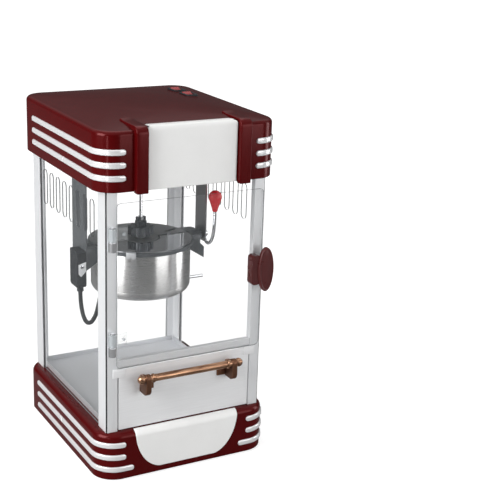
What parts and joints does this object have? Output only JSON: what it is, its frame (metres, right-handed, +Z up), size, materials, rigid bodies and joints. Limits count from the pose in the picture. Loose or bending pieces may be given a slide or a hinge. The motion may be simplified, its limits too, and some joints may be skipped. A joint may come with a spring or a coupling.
{
  "type": "popcorn maker",
  "caption": "Table-top popcorn maker: glazed cabin with a hinged clear door, drop-down flap, tilting kettle with motor-driven stirrer, striped canopy and base.",
  "frame": {"origin": "middle of the underside of the rubber feet, under the middle of the whole object", "axes": "+X to the right seen from the front, +Y to the rear, +Z up; the door faces -Y"},
  "size_m": [0.25, 0.3082, 0.4683],
  "materials": {
    "rubber": "black rubber",
    "sheet_steel": "satin sheet steel",
    "burgundy_plastic": "glossy burgundy moulding",
    "pale_panel": "pale satin paint",
    "silver_stripe": "silver metallised plastic trim",
    "chrome": "polished",
    "satin_aluminium": "satin anodised",
    "clear_panel": "clear acrylic",
    "copper": "antique copper plating",
    "bronze_dark": "dark antique bronze",
    "dark_cast": "dark grey paint",
    "black_plastic": "black plastic",
    "red_rocker": "translucent red",
    "bulb_glass": "frosted bulb",
    "mirror_steel": "mirror-polished stainless steel",
    "pan_coating": "aluminium pan",
    "dark_plastic": "dark grey heat-proof plastic",
    "red_knob": "glossy red"
  },
  "bodies": {
    "frame": {"rubber_feet": "rubber", "base_bottom_plate": "sheet_steel", "base_shell": "burgundy_plastic", "base_front_plate": "pale_panel", "base_stripes": "silver_stripe", "plate_screws": "chrome", "cabin_floor": "sheet_steel", "post_front_left": "satin_aluminium", "post_front_right": "satin_aluminium", "post_rear_left": "satin_aluminium", "post_rear_right": "satin_aluminium", "post_screws": "chrome", "window_left": "clear_panel", "window_right": "clear_panel", "window_rear": "clear_panel", "front_rail": "sheet_steel", "flap_hinge_pins": "chrome", "door_hinge_barrels": "chrome", "door_hinge_pins": "chrome", "door_magnet": "dark_cast", "ceiling_plate": "sheet_steel", "canopy_shell": "burgundy_plastic", "canopy_ribs": "burgundy_plastic", "canopy_front_panel": "pale_panel", "canopy_stripes": "silver_stripe", "switch_bezels": "black_plastic", "gear_motor": "dark_cast", "lamp_socket": "black_plastic", "lamp_bulb": "bulb_glass", "cord_gland": "black_plastic", "hanger_left": "dark_cast", "hanger_right": "dark_cast", "hanger_screws": "chrome", "kettle_connector": "black_plastic", "kettle_lead": "black_plastic"},
    "door": {"door_panel": "clear_panel", "door_knuckles": "clear_panel", "door_knob": "burgundy_plastic", "door_knob_screw": "chrome", "door_strike": "chrome"},
    "flap": {"flap_panel": "sheet_steel", "handle_bar": "copper", "handle_brackets": "bronze_dark", "handle_screws": "chrome"},
    "kettle": {"kettle_pot": "mirror_steel", "cooking_pan": "pan_coating", "heater_ring": "pan_coating", "thermostat": "black_plastic", "kettle_rim": "dark_cast", "rear_cover": "dark_cast", "lid_hinge_pins": "chrome", "tilt_handle": "chrome", "tilt_knob": "red_knob", "kettle_pins": "chrome"},
    "kettle_lid": {"front_lid": "mirror_steel"},
    "stirrer_group": {"stir_gear": "dark_plastic", "stirrer": "chrome"},
    "drive": {"drive_shaft": "chrome"},
    "heat_rocker": {"rocker_heat": "red_rocker"},
    "light_rocker": {"rocker_light": "red_rocker"}
  },
  "joints": [
    {"name": "door_swing", "type": "hinge", "parent": "frame", "child": "door", "pos_m": [-0.1045, -0.136, 0.26], "axis": [0, 0, -1], "range_deg": [0, 110]},
    {"name": "flap_tilt", "type": "hinge", "parent": "frame", "child": "flap", "pos_m": [0, -0.1276, 0.0715], "axis": [1, 0, 0], "range_deg": [0, 85]},
    {"name": "kettle_tilt", "type": "hinge", "parent": "frame", "child": "kettle", "pos_m": [0, 0.013, 0.27], "axis": [1, 0, 0], "range_deg": [0, 60]},
    {"name": "lid_swing", "type": "hinge", "parent": "kettle", "child": "kettle_lid", "pos_m": [0, 0.0105, 0.275], "axis": [-1, 0, 0], "range_deg": [0, 65]},
    {"name": "drive_spin", "type": "hinge", "parent": "frame", "child": "drive", "pos_m": [0, 0.013, 0.35], "axis": [0, 0, 1], "continuous": true},
    {"name": "stirrer_spin", "type": "hinge", "parent": "kettle", "child": "stirrer_group", "pos_m": [0, 0.013, 0.28], "axis": [0, 0, 1], "continuous": true},
    {"name": "heat_switch", "type": "hinge", "parent": "frame", "child": "heat_rocker", "pos_m": [0.077, 0.029, 0.4623], "axis": [-1, 0, 0], "range_deg": [0, 16]},
    {"name": "light_switch", "type": "hinge", "parent": "frame", "child": "light_rocker", "pos_m": [0.077, 0.066, 0.4623], "axis": [-1, 0, 0], "range_deg": [0, 16]}
  ],
  "couplings": [
    {"joint": "drive_spin", "follows": "stirrer_spin", "ratio": 1}
  ]
}
